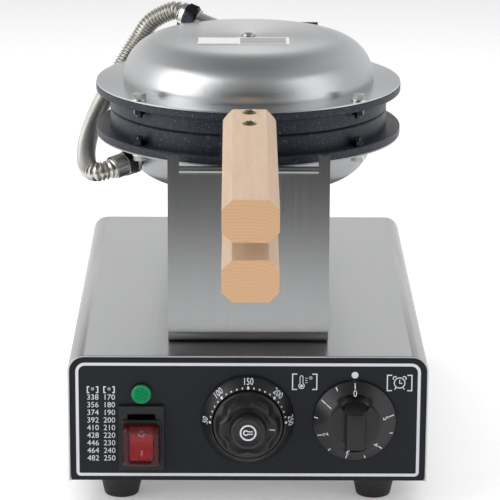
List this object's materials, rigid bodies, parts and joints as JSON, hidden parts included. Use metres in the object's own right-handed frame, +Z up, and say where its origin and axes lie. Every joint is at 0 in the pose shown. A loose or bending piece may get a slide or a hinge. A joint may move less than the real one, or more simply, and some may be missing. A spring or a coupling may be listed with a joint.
{
  "type": "rotating waffle cone maker",
  "caption": "Countertop waffle cone maker: a steel control box and U-shaped stand carry a round two-plate baking head that opens like a book and turns over by its wooden handles.",
  "frame": {"origin": "centre of the control box footprint, on the table that the feet stand on", "axes": "+X to the right seen from the front, +Y to the back, +Z up"},
  "size_m": [0.2518, 0.5683, 0.3205],
  "materials": {
    "stainless_sheet": "satin brushed",
    "spun_stainless": "satin, circular brushing",
    "panel_black": "satin",
    "foot_rubber": "matt",
    "zinc_steel": "zinc plated",
    "bright_steel": "milled",
    "bronze": "machined",
    "copper": "drawn",
    "conduit_steel": "corrugated, bright",
    "switch_black": "fine grain",
    "clear_boot": "clear silicone",
    "pilot_green": "translucent",
    "rocker_red": "translucent",
    "knob_black": "moulded, satin",
    "cast_iron_coated": "non-stick speckled coating",
    "element_sheath": "heat-darkened",
    "ceramic_fibre": "matt fibre",
    "terminal_white": "satin",
    "wire_red": "satin",
    "sleeve_black": "braided",
    "beech_wood": "sanded, oiled",
    "brass_screws": "plated"
  },
  "bodies": {
    "base": {"housing_shell": "stainless_sheet", "front_panel": "panel_black", "base_plate": "stainless_sheet", "back_panel": "stainless_sheet", "feet": "foot_rubber", "foot_screws": "zinc_steel", "stand_bracket": "stainless_sheet", "stand_bolts": "zinc_steel", "bearing_housing": "zinc_steel", "bearing_bush": "bronze", "bearing_screws": "zinc_steel", "stop_pins": "zinc_steel", "rear_cap": "stainless_sheet", "feed_conduit": "conduit_steel", "feed_fittings": "zinc_steel", "switch_bezel": "switch_black", "switch_body": "switch_black", "switch_boot": "clear_boot", "pilot_bezel": "switch_black", "pilot_lens": "pilot_green", "thermostat_body": "zinc_steel", "dial_ring": "knob_black", "capillary_tube": "copper", "timer_body": "zinc_steel", "terminal_block": "terminal_white", "wiring": "wire_red", "power_inlet": "switch_black"},
    "rotor": {"lower_plate": "cast_iron_coated", "lower_dome": "spun_stainless", "lower_element": "element_sheath", "lower_insulation": "ceramic_fibre", "lower_dome_screw": "zinc_steel", "lower_flange_bolts": "zinc_steel", "lower_tang": "bright_steel", "lower_handle": "beech_wood", "lower_handle_screws": "brass_screws", "lower_fitting": "zinc_steel", "axle_carrier": "bright_steel", "carrier_screws": "zinc_steel", "rotor_axle": "zinc_steel", "stop_arm": "bright_steel", "axle_nut": "zinc_steel", "hinge_pin": "zinc_steel", "lead_sleeve": "sleeve_black", "jumper_conduit": "conduit_steel"},
    "lid": {"upper_plate": "cast_iron_coated", "upper_dome": "spun_stainless", "upper_element": "element_sheath", "upper_insulation": "ceramic_fibre", "upper_dome_screw": "zinc_steel", "upper_flange_bolts": "zinc_steel", "upper_tang": "bright_steel", "upper_handle": "beech_wood", "upper_handle_screws": "brass_screws", "upper_fitting": "zinc_steel"},
    "rocker": {"power_rocker": "rocker_red"},
    "thermostat_dial": {"thermostat_knob": "knob_black", "thermostat_shaft": "zinc_steel"},
    "timer_dial": {"timer_knob": "knob_black", "timer_shaft": "zinc_steel"}
  },
  "joints": [
    {"name": "head_flip", "type": "hinge", "parent": "base", "child": "rotor", "pos_m": [0, -0.044, 0.258], "axis": [0, -1, 0], "range_deg": [-180, 0]},
    {"name": "lid_hinge", "type": "hinge", "parent": "rotor", "child": "lid", "pos_m": [0, 0.077, 0.258], "axis": [-1, 0, 0], "range_deg": [0, 100], "deforming": ["jumper_conduit"]},
    {"name": "switch_rock", "type": "hinge", "parent": "base", "child": "rocker", "pos_m": [-0.074, -0.1812, 0.049], "axis": [1, 0, 0], "range_deg": [0, 16]},
    {"name": "thermostat_turn", "type": "hinge", "parent": "base", "child": "thermostat_dial", "pos_m": [0, -0.1842, 0.0655], "axis": [0, 1, 0], "range_deg": [-210, 0]},
    {"name": "timer_turn", "type": "hinge", "parent": "base", "child": "timer_dial", "pos_m": [0.074, -0.1842, 0.0655], "axis": [0, 1, 0], "range_deg": [0, 280]}
  ]
}
